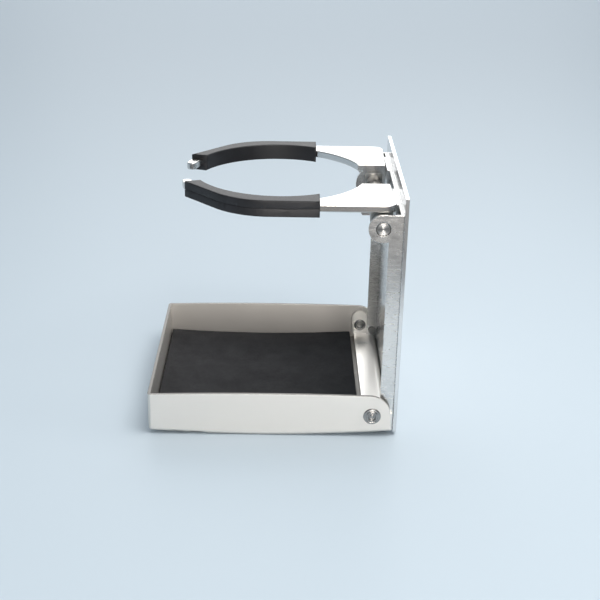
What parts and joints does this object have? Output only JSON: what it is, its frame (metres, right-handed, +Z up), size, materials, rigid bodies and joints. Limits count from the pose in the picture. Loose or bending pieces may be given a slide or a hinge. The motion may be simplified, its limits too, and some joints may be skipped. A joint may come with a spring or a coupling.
{
  "type": "folding drink holder",
  "caption": "Screw-mounted folding drink holder: back plate and channel, two spring-closed curved arms with rubber sleeves, and a hinged tray lined with foam.",
  "frame": {"origin": "middle of the four mounting holes, on the back plate's wall face", "axes": "+Z up, +Y into the wall, the tray and arms reach towards -Y, +X is the right arm's side seen from in front of the wall looking at it"},
  "size_m": [0.097, 0.1058, 0.1065],
  "materials": {
    "plate_steel": "polished sheet",
    "channel_steel": "polished sheet with fine cross scratches",
    "bracket_steel": "pressed sheet",
    "rivet_steel": "turned",
    "tray_steel": "lightly brushed sheet",
    "pin_steel": "turned and polished",
    "spring_steel": "drawn wire",
    "arm_steel": "polished",
    "nylon": "natural",
    "foam": "closed-cell foam",
    "rubber_sleeve": "moulded, satin"
  },
  "bodies": {
    "base": {"back_plate": "plate_steel", "channel_bracket": "channel_steel", "right_stop_strip": "channel_steel", "left_stop_strip": "channel_steel", "hinge_bracket": "bracket_steel", "bracket_rivets": "rivet_steel", "right_tray_rivet": "rivet_steel", "left_tray_rivet": "rivet_steel", "right_tray_washer": "nylon", "left_tray_washer": "nylon"},
    "tray": {"tray_pan": "tray_steel", "tray_pad": "foam"},
    "hinge": {"arm_hinge_pin": "pin_steel", "centre_spacer": "pin_steel", "right_ear_washer": "nylon", "left_ear_washer": "nylon", "right_arm_spring": "spring_steel", "left_arm_spring": "spring_steel"},
    "right_grip": {"right_arm": "arm_steel", "right_arm_saddle": "arm_steel", "right_sleeve": "rubber_sleeve"},
    "left_grip": {"left_arm": "arm_steel", "left_arm_saddle": "arm_steel", "left_sleeve": "rubber_sleeve"}
  },
  "joints": [
    {"name": "arm_fold", "type": "hinge", "parent": "base", "child": "hinge", "pos_m": [0, -0.0096, 0.0392], "axis": [1, 0, 0], "range_deg": [0, 95]},
    {"name": "tray_fold", "type": "hinge", "parent": "base", "child": "tray", "pos_m": [0, -0.0107, -0.0441], "axis": [-1, 0, 0], "range_deg": [0, 55]},
    {"name": "right_arm_slide", "type": "slide", "parent": "hinge", "child": "right_grip", "axis": [1, 0, 0], "range_m": [0, 0.005], "stiffness_N_per_m": 300, "springref_m": -0.004, "deforming": ["right_arm_spring"]},
    {"name": "left_arm_slide", "type": "slide", "parent": "hinge", "child": "left_grip", "axis": [-1, 0, 0], "range_m": [0, 0.005], "stiffness_N_per_m": 300, "springref_m": -0.004, "deforming": ["left_arm_spring"]}
  ]
}
